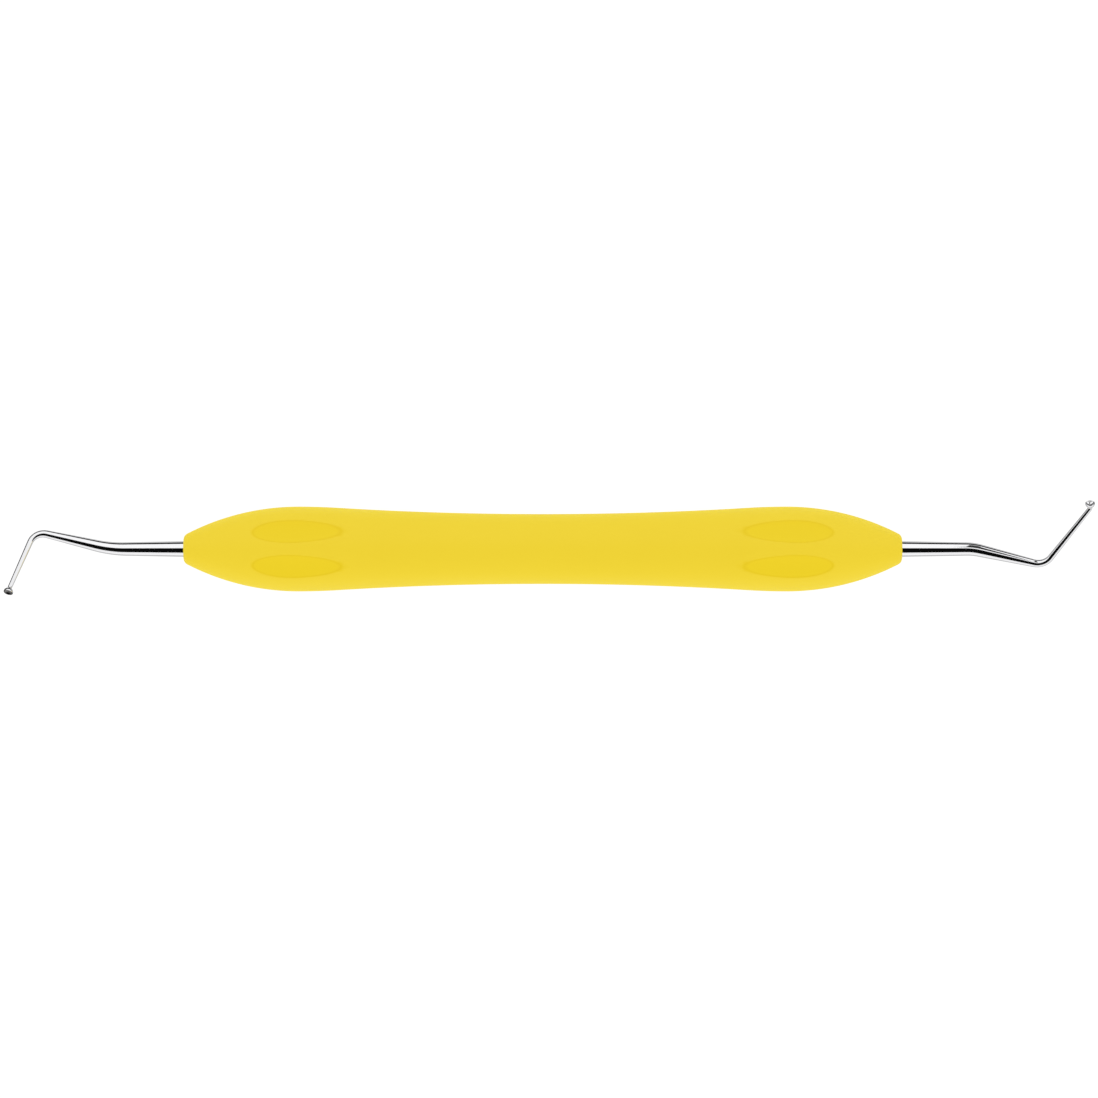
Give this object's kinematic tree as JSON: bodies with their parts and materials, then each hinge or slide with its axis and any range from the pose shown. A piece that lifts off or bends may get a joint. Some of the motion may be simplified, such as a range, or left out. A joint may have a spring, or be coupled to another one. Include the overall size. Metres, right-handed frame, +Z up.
{
  "type": "double-ended dental hand instrument",
  "caption": "Slim hand instrument lying flat: a soft yellow grip with oval finger dimples and a bent, polished steel working end with a tiny round spoon at each end.",
  "frame": {"origin": "on the handle's axis at the middle of its length", "axes": "+X along the handle towards the end with the longer leg, +Y across it in the plane of the shanks and necks, on the side that leg bends to, +Z up out of that plane, the way both legs rise, as the instrument lies on its side"},
  "size_m": [0.1663, 0.0144, 0.013],
  "materials": {
    "grip_silicone": "satin moulded silicone",
    "core_steel": "turned, unpolished",
    "polished_steel": "mirror polished stainless steel"
  },
  "bodies": {
    "root": {"grip_sleeve": "grip_silicone", "core_tube": "core_steel", "left_nose_plug": "core_steel", "right_nose_plug": "core_steel", "left_working_end": "polished_steel", "right_working_end": "polished_steel"}
  },
  "joints": []
}
